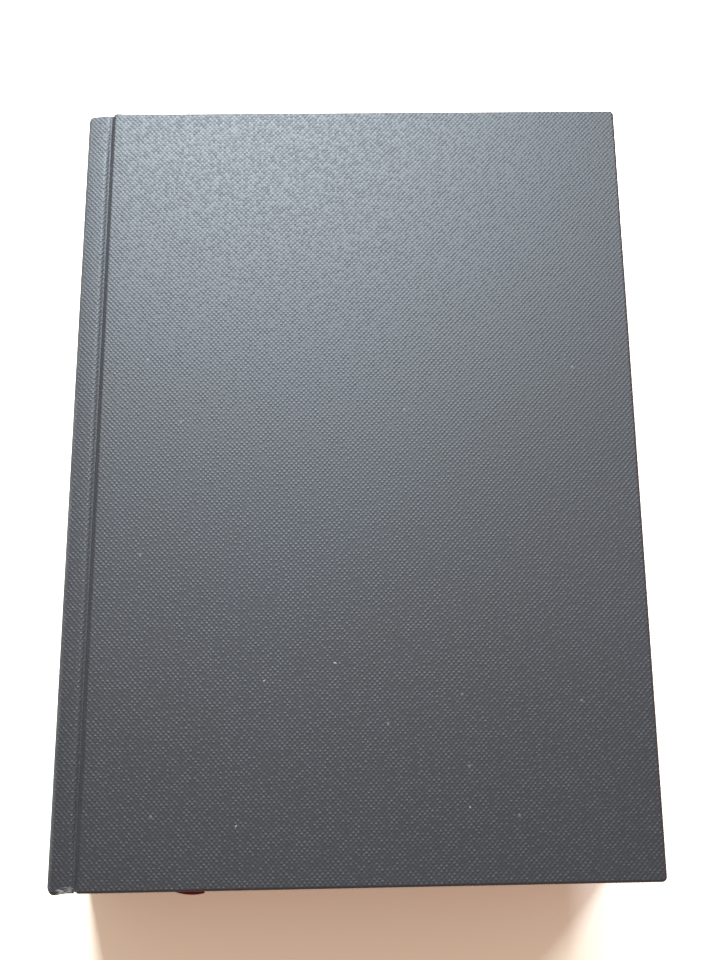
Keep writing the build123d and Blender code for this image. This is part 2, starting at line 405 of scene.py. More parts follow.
def thread_place(tree, flat, axis, pitch, offset):
    """The number of pitches across the threads of one direction, which waver a little."""
    place = node(tree, "ShaderNodeSeparateXYZ", {0: flat}).outputs[axis]
    moved = node(tree, "ShaderNodeMapping", {"Vector": flat, "Location": (offset, offset, 0)})
    waver = stretched_noise(tree, moved.outputs[0], (WAVER_SCALE, WAVER_SCALE, 1), Detail=2.0)
    shift = math_node(tree, "MULTIPLY", math_node(tree, "SUBTRACT", waver, 0.5), WAVER_THREADS)
    return math_node(tree, "ADD", math_node(tree, "DIVIDE", place, pitch), shift)


def thread_wave(tree, value):
    """A wave with one thread in each half turn, above zero and below it in turn."""
    return math_node(tree, "SINE", math_node(tree, "MULTIPLY", value, math.pi))


def chance_of_crossing(tree, across, along):
    """White noise that gives each crossing of two threads its own value and its own colour."""
    numbers = {0: math_node(tree, "FLOOR", across), 1: math_node(tree, "FLOOR", along)}
    crossing = node(tree, "ShaderNodeCombineXYZ", numbers).outputs[0]
    return node(tree, "ShaderNodeTexWhiteNoise", {0: crossing}, noise_dimensions="2D")


def thread_colour(tree, flat, weave, weft_round, chance):
    """The thread on top, thicker and thinner along its length, with painted shade between the wefts."""
    warp_slub = stretched_noise(tree, flat, (0.5 / WARP_PITCH, 70, 1), Detail=2.0)
    weft_slub = stretched_noise(tree, flat, (110, 0.5 / WEFT_PITCH, 1), Detail=2.0)
    weft_over = ramp(tree, weave, -0.4, 0.4)
    slubs = {0: weft_over, 2: warp_slub, 3: weft_slub}
    slub = node(tree, "ShaderNodeMix", slubs, data_type="FLOAT").outputs[0]
    by_crossing = ramp(tree, chance, 0, 1, -CROSSING_CHANGE, CROSSING_CHANGE)
    uneven = math_node(tree, "ADD", ramp(tree, slub, 0.3, 0.72, 0.84, 1.14), by_crossing)
    thread = mix_colour(tree, weft_over, CLOTH_DARK, CLOTH_LIGHT)
    thread = mix_colour(tree, 1.0, thread, uneven, "MULTIPLY")
    # Painted shade in the valleys between the wefts.
    thread = mix_colour(tree, ramp(tree, weft_round, 0.0, 0.45, 0.6, 1.0), VALLEY_SHADE, thread)
    cloud = stretched_noise(tree, flat, (14, 14, 1), Detail=3.0)
    tone = mix_colour(tree, ramp(tree, cloud, 0.3, 0.7), WARM_CLOUD, COOL_CLOUD)
    return mix_colour(tree, 1.0, thread, tone, "MULTIPLY")


# %% [markdown]
# ## Putting the cloth together
# The threads get their colour first, and the wear, the lint, a painted red bounce light along the tail and
# fore edges and a painted rim light along the spine's front edge lie over it. This cloth shines where window
# light grazes it, so its gloss is strong for a cloth: a high index of refraction and a fairly rough
# surface, a little smoother on the raised wefts. The weave is a bump and no mesh, because each cover has
# about 75,000 crossings.

# %% Book cloth
STRAY_FROM = 0.99992
STRAY_SHARE = 0.2
WEAVE_HEIGHT = 0.062 * MM


def make_book_cloth():
    material, tree, shader = new_material("slate_book_cloth")
    flat = node(tree, "ShaderNodeUVMap", uv_map="flat_cloth").outputs[0]
    place = node(tree, "ShaderNodeSeparateXYZ", {0: flat})
    across = thread_place(tree, flat, 0, WARP_PITCH, 0.0)
    along = thread_place(tree, flat, 1, WEFT_PITCH, WEFT_OFFSET)
    weft = thread_wave(tree, along)
    weave = math_node(tree, "MULTIPLY", thread_wave(tree, across), weft)
    weft_round = math_node(tree, "ABSOLUTE", weft)
    chance, chances = chance_of_crossing(tree, across, along).outputs[:2]

    thread = thread_colour(tree, flat, weave, weft_round, chance)
    # Painted red bounce light along the tail and fore edges.
    thread = mix_colour(tree, red_bounce_band(tree, place), thread, RED_BOUNCE_LIGHT)
    # The spine's front edge made lighter: partly wear, partly painted rim light.
    thread = mix_colour(tree, rubbed_and_lit_edge(tree, flat, place), thread, RUBBED_AND_RIM_LIGHT)
    thread = mix_colour(tree, frayed_tail(tree, flat), thread, FRAYED)
    second_chance = node(tree, "ShaderNodeSeparateColor", {0: chances}).outputs[1]
    stray = math_node(tree, "GREATER_THAN", second_chance, STRAY_FROM)
    thread = mix_colour(tree, math_node(tree, "MULTIPLY", stray, STRAY_SHARE), thread, LINT)
    tree.links.new(mix_colour(tree, lint(tree, flat), thread, LINT), shader.inputs["Base Color"])

    rough = ramp(tree, weave, -0.5, 0.7, 0.61, 0.54)
    rough = math_node(tree, "ADD", rough, ramp(tree, chance, 0, 1, -0.025, 0.03))
    tree.links.new(rough, shader.inputs["Roughness"])
    shader.inputs["IOR"].default_value = 1.8
    shader.inputs["Specular IOR Level"].default_value = 1.0
    shader.inputs["Sheen Weight"].default_value = 0.1
    shader.inputs["Sheen Roughness"].default_value = 0.4
    rounded = math_node(tree, "MULTIPLY", weft_round, 0.2)
    height = math_node(tree, "ADD", math_node(tree, "MULTIPLY", weave, 0.5), rounded)
    relief = math_node(tree, "MULTIPLY", height, ramp(tree, chance, 0, 1, 0.3, 1.8))
    add_bump(tree, shader, relief, WEAVE_HEIGHT)
    return material


book_cloth = make_book_cloth()
print("cloth:", book_cloth.name, len(book_cloth.node_tree.nodes), "nodes")

# %% [markdown]
# ## Cutting and folding the cloth
# A binder cuts a rectangle of cloth, clips its corners at 45 degrees, lays the board on it and folds the
# margins over. The mesh is made in the same way, which gives its UV map and its flat size for nothing: a
# grid with its lines packed where the cloth will bend is clipped with two planes, its flat places become
# the UV map, and then every vertex is moved to where the fold puts it. Solidify gives the cloth its
# thickness.

# %% Stations across and along the cloth
def steps(start, end, count):
    """Evenly spaced places after start, up to and with end."""
    return [start + (end - start) * i / count for i in range(1, count + 1)]


def wrap_stations(flat_end, depth):
    """Stations past the flat part of the cloth: shoulder, round edge, wall, round edge and turn-in."""
    shoulder = CORNER_RADIUS - RIM_RADIUS
    quarter = RIM_RADIUS * math.pi / 2
    wall = depth - 2 * RIM_RADIUS
    stations, place = [], flat_end
    for length, count in ((shoulder, 2), (quarter, 5), (wall, 3), (quarter, 5), (TURN_IN - RIM_RADIUS, 8)):
        stations += steps(place, place + length, count)
        place += length
    return stations


def wrap_length(depth):
    """How much cloth goes over an edge before it lies flat again underneath."""
    return CORNER_RADIUS - RIM_RADIUS + RIM_RADIUS * math.pi + depth - 2 * RIM_RADIUS


def over_edge(distance, depth):
    """(outward, downward) for cloth that goes over an edge, by its distance past the core of the cover."""
    radius = min(RIM_RADIUS, 0.49 * depth)
    shoulder = CORNER_RADIUS - radius
    quarter = radius * math.pi / 2
    wall = depth - 2 * radius
    if distance <= shoulder:
        return distance, 0.0
    distance -= shoulder
    if distance <= quarter:
        return shoulder + radius * math.sin(distance / radius), radius * (1 - math.cos(distance / radius))
    distance -= quarter
    if distance <= wall:
        return CORNER_RADIUS, radius + distance
    distance -= wall
    if distance <= quarter:
        return (shoulder + radius * math.cos(distance / radius),
                depth - radius + radius * math.sin(distance / radius))
    return shoulder - (distance - quarter), depth


print("cloth past the flat part of a cover:", round(wrap_length(cover_depth / MM), 2), "mm and the turn-in")

# %% [markdown]
# ## Where the fold puts a place
# A flat place moves in two steps: along the section of the case, and then over an edge, by its distance
# past the flat part. At a corner that distance is measured slantwise, so the two turn-ins meet in a mitre
# by themselves. The real cloth isn't quite regular. The groove fills up towards the head and the tail,
# where the cloth lies double, and the photograph shows two small bumps and a notch in the ends of the
# joint.

# %% Place on the folded cloth
END_SOFTNESS = 15.0
END_FILL = 0.9
GROOVE_SPAN = (STRIP_WIDTH - 0.6, BOARD_LIP + 1.0)
GROOVE_FILL_DEPTH = 1.3
SPINE_END_RADIUS = 1.6
SHIFT_REACH = 7.0
# Each bump: place from the spine, half width, and how far it stands out
HEAD_BUMPS = [(9.4, 2.0, 0.35)]
TAIL_BUMPS = [(2.4, 2.4, 0.5), (7.2, 1.0, -0.35)]


def smooth(share):
    """An S-curve from 0 to 1, which starts and ends level."""
    return share * share * (3 - 2 * share)


def groove_share(across, depth):
    """How far down the groove a point of the section is, from 0 to 1."""
    if not GROOVE_SPAN[0] < across < GROOVE_SPAN[1] or depth > total_mm / 2:
        return 0.0
    return min(1.0, max(0.0, (depth - STRIP_DEPTH) / GROOVE_FILL_DEPTH))


def end_shift(x, side):
    """How far past the straight end the cloth lies, at x from the spine; side is 1 at the head."""
    shift = 0.0
    if x < SPINE_END_RADIUS:
        drop = SPINE_END_RADIUS ** 2 - (SPINE_END_RADIUS - x) ** 2
        shift -= SPINE_END_RADIUS - math.sqrt(max(0.0, drop))
    for place, half_width, amount in HEAD_BUMPS if side > 0 else TAIL_BUMPS:
        shift += amount * smooth(max(0.0, 1 - abs(x - place) / half_width))
    return shift


def folded_place(flat, path, lengths, core_u, core_v):
    """Where a flat point of the cloth, in millimetres, comes to lie, in metres."""
    du, dv = max(flat.x - core_u, 0.0), max(abs(flat.y) - core_v, 0.0)
    on_path = point_at(path, lengths, min(flat.x, core_u))
    inner = inside_of(on_path.x, on_path.y)
    end_gap = half_height / MM - min(abs(flat.y), half_height / MM)
    softness = smooth(max(0.0, 1 - end_gap / END_SOFTNESS))
    on_path.y -= END_FILL * softness * groove_share(on_path.x, on_path.y)
    reach = math.hypot(du, dv)
    out, down = over_edge(reach, (inner - on_path).length if du == 0 else cover_mm)
    section = on_path if reach == 0 else on_path + (inner - on_path).normalized() * down
    x, y = section.x, min(abs(flat.y), core_v)
    if reach > 0:
        x += out * du / reach
        y += out * dv / reach
    near_end = max(0.0, 1 - (half_height / MM - y) / SHIFT_REACH)
    y += near_end * near_end * end_shift(x, flat.y)
    return Vector((spine_x + x * MM, math.copysign(y * MM, flat.y), top_z - section.y * MM))


front_core = (front_lengths[-1], half_height / MM)
spine_edge = folded_place(Vector((spine_edge_u, 0)), front_path, front_lengths, *front_core)
print("the spine's front edge lies at", [round(value / MM, 2) for value in spine_edge], "mm")

# %% [markdown]
# ## Cutting the cloth
# The grid is made as large as the uncut rectangle, its lines are moved to their stations, and two planes
# clip its corners. Its places at that moment are the flat cloth, so they become the UV map and give the
# flat area.

# %% Cut and fold one cloth
LONG_STEP = 5.0
MITRE_ROOM = 1.1


def long_stations(marks, longest):
    """The given marks, with long spans between them divided."""
    stations = [marks[0]]
    for first, second in zip(marks, marks[1:]):
        stations += steps(first, second, max(1, math.ceil((second - first) / longest)))
    return stations


def station_grid(bm, across, along):
    """A grid with its lines at the given stations, flat on the XY plane."""
    last_u, last_v = len(across) - 1, len(along) - 1
    bmesh.ops.create_grid(bm, x_segments=last_u, y_segments=last_v, size=1)
    for vert in bm.verts:
        i, j = round((vert.co.x + 1) / 2 * last_u), round((vert.co.y + 1) / 2 * last_v)
        vert.co = (across[i], along[j], 0)


def keep_flat_places(bm, uv_name, start=0.0):
    """The flat places become the UV map, in metres; start is added across, in millimetres."""
    uv = bm.loops.layers.uv.new(uv_name)
    for face in bm.faces:
        for loop in face.loops:
            loop[uv].uv = ((loop.vert.co.x + start) * MM, loop.vert.co.y * MM)


def finish_mesh(bm, name, smooth_faces=True):
    """Turn a bmesh into an object of the scene."""
    mesh = bpy.data.meshes.new(name)
    for face in bm.faces:
        face.smooth = smooth_faces
    bm.to_mesh(mesh)
    bm.free()
    piece = bpy.data.objects.new(name, mesh)
    bpy.context.scene.collection.objects.link(piece)
    return piece


def thicken(piece, name, thickness, offset):
    """Give a sheet its thickness, inwards with an offset of -1, on both sides with 0 and outwards with 1."""
    solid = piece.modifiers.new(name, "SOLIDIFY")
    solid.thickness = thickness
    solid.offset = offset


def fold_case_cloth(name, outside, radii, roll_start, under_side):
    """The cloth of one cover: a clipped rectangle, folded along the section and over three edges.
    roll_start is where on the roll it is cut, in millimetres, so the two cloths differ in their threads."""
    path = rounded_path(outside, radii)
    lengths = lengths_along(path)
    core_u = lengths[-1]
    core_v = half_height / MM - CORNER_RADIUS
    across_stations = long_stations(lengths, LONG_STEP) + wrap_stations(core_u, cover_mm)
    half_stations = long_stations([0.0, core_v - END_SOFTNESS], LONG_STEP)
    half_stations += steps(core_v - END_SOFTNESS, core_v, 8) + wrap_stations(core_v, cover_mm)
    along_stations = [-v for v in reversed(half_stations[1:])] + half_stations

    bm = bmesh.new()
    station_grid(bm, across_stations, along_stations)
    clip = core_u + core_v + MITRE_ROOM * wrap_length(cover_mm)
    for side in (-1, 1):
        geometry = bm.verts[:] + bm.edges[:] + bm.faces[:]
        corner = Vector((core_u, side * (clip - core_u), 0))
        bmesh.ops.bisect_plane(bm, geom=geometry, plane_co=corner, plane_no=(1, side, 0), clear_outer=True)

    keep_flat_places(bm, "flat_cloth", roll_start)
    flat_area = sum(f.calc_area() for f in bm.faces) * MM * MM
    for vert in bm.verts:
        vert.co = folded_place(vert.co, path, lengths, core_u, core_v)
        if under_side:
            vert.co.z = top_z - vert.co.z
    if under_side:
        bmesh.ops.reverse_faces(bm, faces=bm.faces[:])
    piece = finish_mesh(bm, name)
    thicken(piece, "cloth_thickness", cloth_thick, -1)
    print(name, "flat", round(across_stations[-1], 1), "x", round(2 * along_stations[-1], 1), "mm")
    return piece, across_stations[-1] * MM, 2 * along_stations[-1] * MM, flat_area


# %% [markdown]
# ## The two case cloths
# On the real book one sheet covers both boards and the spine. Here it is cut in two on the back strip,
# because a piece can bend across one joint only: the front cloth has the spine, and the back cloth starts
# at the cut.


def across_joint(piece, cover):
    """Bake the piece's place into its mesh, alike for either cover."""
    if cover == "front_cover":
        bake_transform(piece)
    else:
        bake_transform(piece)


front_cloth, front_u, front_v, front_area = fold_case_cloth(
    "front_case_cloth", front_outside, front_radii, roll_start=0.0, under_side=False)
back_cloth, back_u, back_v, back_area = fold_case_cloth(
    "back_case_cloth", back_outside, back_radii, roll_start=400.0, under_side=True)
for piece in (front_cloth, back_cloth):
    piece.data.materials.append(book_cloth)
across_joint(front_cloth, "front_cover")
across_joint(back_cloth, "back_cover")
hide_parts("front_cover_cloth", "spine_cloth")
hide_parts("back_cover_cloth")

# %% [markdown]
# ## Paper and board
# The pages are trimmed smooth and their edges stained red. Up close the trimmed edges are hundreds of fine
# lines that run along the sheets, so the finish is noise drawn out along the pages. The faces of the outer
# leaves keep the plain ivory of the paper, which a mask by the surface's direction picks out.

# %% Stained pages
STAIN = (0.30, 0.026, 0.02, 1)
STAIN_DARK = (0.17, 0.012, 0.01, 1)
STAIN_THIN = (0.38, 0.06, 0.045, 1)
IVORY = (0.80, 0.69, 0.58, 1)
BOARD_GREY = (0.3, 0.26, 0.21, 1)
KRAFT_BROWN = (0.42, 0.29, 0.17, 1)
PAPER_SHADE = 0.9


def make_pages():
    material, tree, shader = new_material("stained_pages")
    place = node(tree, "ShaderNodeTexCoord").outputs["Object"]
    normal = node(tree, "ShaderNodeSeparateXYZ", {0: node(tree, "ShaderNodeNewGeometry").outputs["Normal"]})
    leaves = stretched_noise(tree, place, (30, 30, 5200), Detail=3.0, Roughness=0.7)
    groups = stretched_noise(tree, place, (12, 12, 700), Detail=2.0)
    blotch = stretched_noise(tree, place, (60, 60, 60), Detail=3.0)
    tone = math_node(tree, "MULTIPLY", math_node(tree, "ADD", leaves, groups), 0.5)
    stain = mix_colour(tree, ramp(tree, tone, 0.36, 0.62), STAIN_DARK, STAIN)
    stain = mix_colour(tree, ramp(tree, blotch, 0.35, 0.7, 0.0, 0.25), stain, STAIN_THIN)
    flat_face = math_node(tree, "GREATER_THAN", math_node(tree, "ABSOLUTE", normal.outputs[2]), 0.5)
    at_back = math_node(tree, "LESS_THAN", normal.outputs[0], -0.3)
    paper = math_node(tree, "MAXIMUM", flat_face, at_back)
    tree.links.new(mix_colour(tree, paper, stain, IVORY), shader.inputs["Base Color"])
    shader.inputs["Roughness"].default_value = 0.62
    add_bump(tree, shader, tone, 0.12 * MM, 0.8)
    return material


def make_paper(name, colour, uv_map=None, roughness=0.8):
    """Paper or board with soft clouds and fibres; a folded piece gives the name of its UV map."""
    material, tree, shader = new_material(name)
    if uv_map:
        place = node(tree, "ShaderNodeUVMap", uv_map=uv_map).outputs[0]
    else:
        place = node(tree, "ShaderNodeTexCoord").outputs["Object"]
    cloud = stretched_noise(tree, place, (55, 55, 55), Detail=4.0)
    fibre = stretched_noise(tree, place, (900, 2600, 900), Detail=3.0)
    shade = (*(channel * PAPER_SHADE for channel in colour[:3]), 1)
    tinted = mix_colour(tree, ramp(tree, cloud, 0.3, 0.7), shade, colour)
    tinted = mix_colour(tree, ramp(tree, fibre, 0.3, 0.75, 0.0, 0.35), tinted, shade)
    tree.links.new(tinted, shader.inputs["Base Color"])
    shader.inputs["Roughness"].default_value = roughness
    add_bump(tree, shader, fibre, 0.03 * MM, 0.5)
    return material


stained_pages = make_pages()
endpaper = make_paper("ivory_endpaper", IVORY)
folded_endpaper = make_paper("ivory_endpaper_folded", IVORY, uv_map="flat_paper")
binders_board = make_paper("binders_board", BOARD_GREY, roughness=0.9)
kraft_lining = make_paper("kraft_lining", KRAFT_BROWN)
print("paper and board:", [m.name for m in (stained_pages, endpaper, binders_board, kraft_lining)])

# %% [markdown]
# ## Pastedowns
# Each endpaper is one folded sheet: one half is glued to the board as the pastedown, the other is the free
# flyleaf. The pastedown hides the raw edges of the turned-in cloth, which still show as a soft step all
# round. It is a grid bent over that step, long enough at its inner side to cross the joint.

# %% Pastedowns
PAPER_THICK = 0.16
PAPER_START = 6.1
JOINT_PAPER_END = 11.0
STEP_WIDTH = 1.8
BOARD_CLEARANCE = 0.2
JOINT_DIP = 0.4
DIP_RUN = 2.0
DIP_END = 9.0


def paper_level(x, y, x_edge, y_edge):
    """Depth of the paper's free face, deeper where it lies on the turned-in cloth."""
    to_edge = max(x - x_edge, abs(y) - y_edge)
    on_turn_in = smooth(min(max(to_edge / STEP_WIDTH + 0.5, 0.0), 1.0))
    at_joint = smooth(min(max((DIP_END - x) / DIP_RUN, 0.0), 1.0))
    on_board = (cover_depth - cloth_thick) / MM + BOARD_CLEARANCE
    return on_board + max(on_turn_in * cloth_thick / MM, JOINT_DIP * at_joint)


def over_step(edge, end):
    """Stations close together over the step at the edge of the turned-in cloth, and a few on to the end."""
    return steps(edge - 1, edge + 1, 8) + steps(edge + 1, end, 5)


def fold_pastedown(name, under_side):
    """A flat sheet of paper, laid over the board and the step of the turned-in cloth."""
    y_edge = half_height / MM - TURN_IN
    x_edge = (fore_x - spine_x) / MM - TURN_IN
    page_edge = (page_high.x - spine_x) / MM
    page_half = page_high.y / MM
    joint = [PAPER_START] + steps(PAPER_START, JOINT_PAPER_END, 14)
    x_stations = joint + steps(JOINT_PAPER_END, x_edge - 1, 20) + over_step(x_edge, page_edge)
    half = steps(0, y_edge - 1, 16) + over_step(y_edge, page_half)
    y_stations = [-y for y in reversed(half)] + [0.0] + half
    bm = bmesh.new()
    station_grid(bm, x_stations, y_stations)
    keep_flat_places(bm, "flat_paper", spine_x / MM)
    for vert in bm.verts:
        depth = paper_level(vert.co.x, vert.co.y, x_edge, y_edge) * MM
        vert.co = (spine_x + vert.co.x * MM, vert.co.y * MM, depth if under_side else top_z - depth)
    if not under_side:
        bmesh.ops.reverse_faces(bm, faces=bm.faces[:])
    piece = finish_mesh(bm, name)
    thicken(piece, "paper_thickness", PAPER_THICK * MM, -1)
    piece.data.materials.append(folded_endpaper)
    size = ((page_edge - PAPER_START) * MM, 2 * page_half * MM)
    print(name, "flat", [round(s / MM, 1) for s in size], "mm")
    return piece, size


for side, z in (("front", top_z), ("back", 0.0)):
    pastedown, size = fold_pastedown(f"{side}_pastedown_sheet", side == "back")
    across_joint(pastedown, f"{side}_cover")
    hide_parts(f"{side}_pastedown")

# %% [markdown]
# ## Ribbon marker
# The marker is one woven satin ribbon, glued to the back of the pages near the head. It comes over the
# head, turns up with a 45 degree fold, and goes in between the pages, to show its end at the tail. The mesh
# is a flat strip of quads, and a function of the distance along the ribbon and the place across it lays it
# on that route.

# %% Ribbon material
RIBBON_WIDTH = 8.0 * MM
SELVEDGE_WIDTH = 0.5 * MM
RIB_PITCH = 0.32 * MM
RIBBON_SHADE = (0.36, 0.012, 0.010, 1)
RIBBON_RED = (0.66, 0.026, 0.020, 1)
RIBBON_DULL = (0.22, 0.01, 0.012, 1)
SELVEDGE_RED = (0.14, 0.004, 0.006, 1)


def make_ribbon_satin():
    material, tree, shader = new_material("red_ribbon_satin")
    flat = node(tree, "ShaderNodeUVMap", uv_map="flat_ribbon").outputs[0]
    place = node(tree, "ShaderNodeSeparateXYZ", {0: flat})
    turns = math_node(tree, "MULTIPLY", place.outputs[1], 2 * math.pi / RIB_PITCH)
    rib = ramp(tree, math_node(tree, "SINE", turns), -1, 1)
    thread = stretched_noise(tree, flat, (5200, 160, 1), Detail=2.0)
    dull = stretched_noise(tree, flat, (90, 90, 1), Detail=2.0)
    from_middle = math_node(tree, "ABSOLUTE", place.outputs[0])
    selvedge = math_node(tree, "GREATER_THAN", from_middle, RIBBON_WIDTH / 2 - SELVEDGE_WIDTH)
    threads = math_node(tree, "MULTIPLY", thread, 0.8)
    tone = math_node(tree, "ADD", math_node(tree, "MULTIPLY", rib, 0.4), threads)
    red = mix_colour(tree, ramp(tree, tone, 0.2, 0.9), RIBBON_SHADE, RIBBON_RED)
    red = mix_colour(tree, ramp(tree, dull, 0.35, 0.7, 0.0, 0.3), red, RIBBON_DULL)
    red = mix_colour(tree, math_node(tree, "MULTIPLY", selvedge, 0.5), red, SELVEDGE_RED)
    tree.links.new(red, shader.inputs["Base Color"])
    shader.inputs["Roughness"].default_value = 0.38
    shader.inputs["Anisotropic"].default_value = 0.4
    shader.inputs["Sheen Weight"].default_value = 0.15
    add_bump(tree, shader, tone, 0.05 * MM, 0.6)
    return material


ribbon_satin = make_ribbon_satin()
print("ribbon finish:", ribbon_satin.name)

# %% [markdown]
# ## The ribbon's route
# The route has four legs: along the back of the pages to their head, across the head to a slanted fold,
# from there up towards the front cover, and in between the pages down to the tail. Round bends take the
# ribbon over the edges. Its length follows from the legs, and the places are millimetres in the frame of
# the book.

# %% Route of the ribbon
RIBBON_THICK = 0.25 * MM
GLUED_LENGTH = 30.0
GLUED_X = -73.55
GLUED_Z = 20.0
HEAD_GAP = 0.1
HEAD_RUN = 3.0
FOLD_X = -64.0
FOLD_WIDTH = 0.5
FOLD_LIFT = 0.3
ENTRY_Z = 28.0
TIP_X = -43.65
TIP_Y = -110.35
EDGE_BEND = 0.35


def turn_over(distance, radius):
    """(ahead, aside) round a right-angled bend that starts at distance 0."""
    quarter = radius * math.pi / 2
    if distance <= 0:
        return distance, 0.0
    if distance <= quarter:
        return radius * math.sin(distance / radius), radius * (1 - math.cos(distance / radius))
    return radius, radius + distance - quarter


head_face = page_high.y / MM + HEAD_GAP
to_fold = FOLD_X - GLUED_X
entry_run = ENTRY_Z - GLUED_Z
inside_run = math.hypot(head_face - TIP_Y, TIP_X - FOLD_X)
ribbon_length = GLUED_LENGTH + to_fold + entry_run + inside_run


def ribbon_place(along, across):
    """Where a place on the flat ribbon, in millimetres, comes to lie."""
    on_head = along - GLUED_LENGTH
    ahead, aside = turn_over(on_head + EDGE_BEND, EDGE_BEND)
    if on_head < HEAD_RUN:
        return Vector((GLUED_X + aside, head_face - EDGE_BEND + ahead, GLUED_Z + across))
    x, z = GLUED_X + on_head, GLUED_Z + across
    past_fold = (x - FOLD_X) - (z - GLUED_Z)
    lift = min(max(past_fold / FOLD_WIDTH + 0.5, 0.0), 1.0) * FOLD_LIFT
    if past_fold <= 0:
        return Vector((x, head_face + lift, z))
    side, up = z - GLUED_Z, x - FOLD_X
    rise, into = turn_over(up - entry_run + EDGE_BEND, EDGE_BEND)
    share = min(max(into / inside_run, 0.0), 1.0)
    center = FOLD_X + (TIP_X - FOLD_X) * share
    y = head_face + lift - into * (head_face - TIP_Y) / inside_run
    return Vector((center + side, y, ENTRY_Z - EDGE_BEND + rise))


# %% [markdown]
# ## The ribbon itself
# The strip is a grid with more lines where it bends. Its tail end is cut a little slanted and rounded by
# wear, as the photograph shows, and the flat strip is then laid on its route.

# %% Lay the ribbon
TIP_RUN = 6.0
TIP_SLANT = 0.07
TIP_SLANT_MIDDLE = 0.45
TIP_ROUND = 0.6


def lay_ribbon():
    half = RIBBON_WIDTH / MM / 2
    across = [-half] + steps(-half, half, 16)
    along = [0.0] + steps(0, GLUED_LENGTH - 1, 10) + steps(GLUED_LENGTH - 1, GLUED_LENGTH + 1, 12)
    along += steps(GLUED_LENGTH + 1, GLUED_LENGTH + to_fold + entry_run + 6, 64)
    last = ribbon_length - TIP_RUN
    along += steps(along[-1], last, 30) + steps(last, ribbon_length, 12)
    bm = bmesh.new()
    station_grid(bm, across, along)
    for vert in bm.verts:
        share = max(vert.co.y - last, 0.0) / TIP_RUN
        slant = (vert.co.x - half * TIP_SLANT_MIDDLE) * TIP_SLANT
        vert.co.y += share * (slant - TIP_ROUND * (vert.co.x / half) ** 2)
    keep_flat_places(bm, "flat_ribbon")
    for vert in bm.verts:
        vert.co = ribbon_place(vert.co.y, vert.co.x) * MM
    piece = finish_mesh(bm, "ribbon")
    thicken(piece, "ribbon_thickness", RIBBON_THICK, 0)
    return piece


ribbon = lay_ribbon()
ribbon.data.materials.append(ribbon_satin)
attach(ribbon, "block")
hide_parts("ribbon_marker")
print("ribbon", round(ribbon_length, 1), "mm long")

# %% [markdown]
# ## Head and tail bands
# A band is a strip of cloth sewn or rolled round a thin cord. Its bead fills the gap between the pages and
# the spine at head and tail, and its skirt is glued down the back of the pages. Each silk wrap of the bead
# is a small ridge, here made by letting the radius of the roll swell in the middle of each wrap, and the
# wraps change colour in pairs.

# %% Band silk
WRAP_PITCH = 0.5
WRAPS_PER_STRIPE = 2
SKIRT_LENGTH = 12.0
SKIRT_SHOWN = SKIRT_LENGTH - 1.4
SILK_WHITE = (0.72, 0.66, 0.52, 1)
SILK_RED = (0.36, 0.02, 0.025, 1)
SILK_SHADE = (0.2, 0.12, 0.09, 1)
SKIRT_CLOTH = (0.62, 0.58, 0.5, 1)


def make_band_silk():
    material, tree, shader = new_material("striped_band_silk")
    flat = node(tree, "ShaderNodeUVMap", uv_map="flat_band").outputs[0]
    place = node(tree, "ShaderNodeSeparateXYZ", {0: flat})
    stripes = math_node(tree, "DIVIDE", place.outputs[0], 2 * WRAPS_PER_STRIPE * WRAP_PITCH * MM)
    red_turn = math_node(tree, "GREATER_THAN", math_node(tree, "FRACT", stripes), 0.5)
    silk = mix_colour(tree, red_turn, SILK_WHITE, SILK_RED)
    body = node(tree, "ShaderNodeTexCoord").outputs["Object"]
    fibre = stretched_noise(tree, body, (900, 900, 5000), Detail=2.0)
    silk = mix_colour(tree, ramp(tree, fibre, 0.3, 0.7, 0.0, 0.45), silk, SILK_SHADE)
    skirt = math_node(tree, "LESS_THAN", place.outputs[1], SKIRT_SHOWN * MM)
    tree.links.new(mix_colour(tree, skirt, silk, SKIRT_CLOTH), shader.inputs["Base Color"])
    shader.inputs["Roughness"].default_value = 0.45
    shader.inputs["Sheen Weight"].default_value = 0.2
    add_bump(tree, shader, fibre, 0.05 * MM, 0.6)
    return material


band_silk = make_band_silk()
print("band finish:", band_silk.name)

# %% [markdown]
# ## Rolling a band
# The flat strip has six stations in each wrap. Up to the length of the skirt it stays flat on the back of
# the pages. The rest goes round the cord, and the bead's radius swells and shrinks with the wraps.

# %% Bands
BAND_RADIUS = 1.25
BEAD_ARC = BAND_RADIUS * math.pi * 1.35
BAND_THICK = 0.2
WRAP_RIDGE = 0.1
STATIONS_PER_WRAP = 6
band_low, band_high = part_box("head_band")


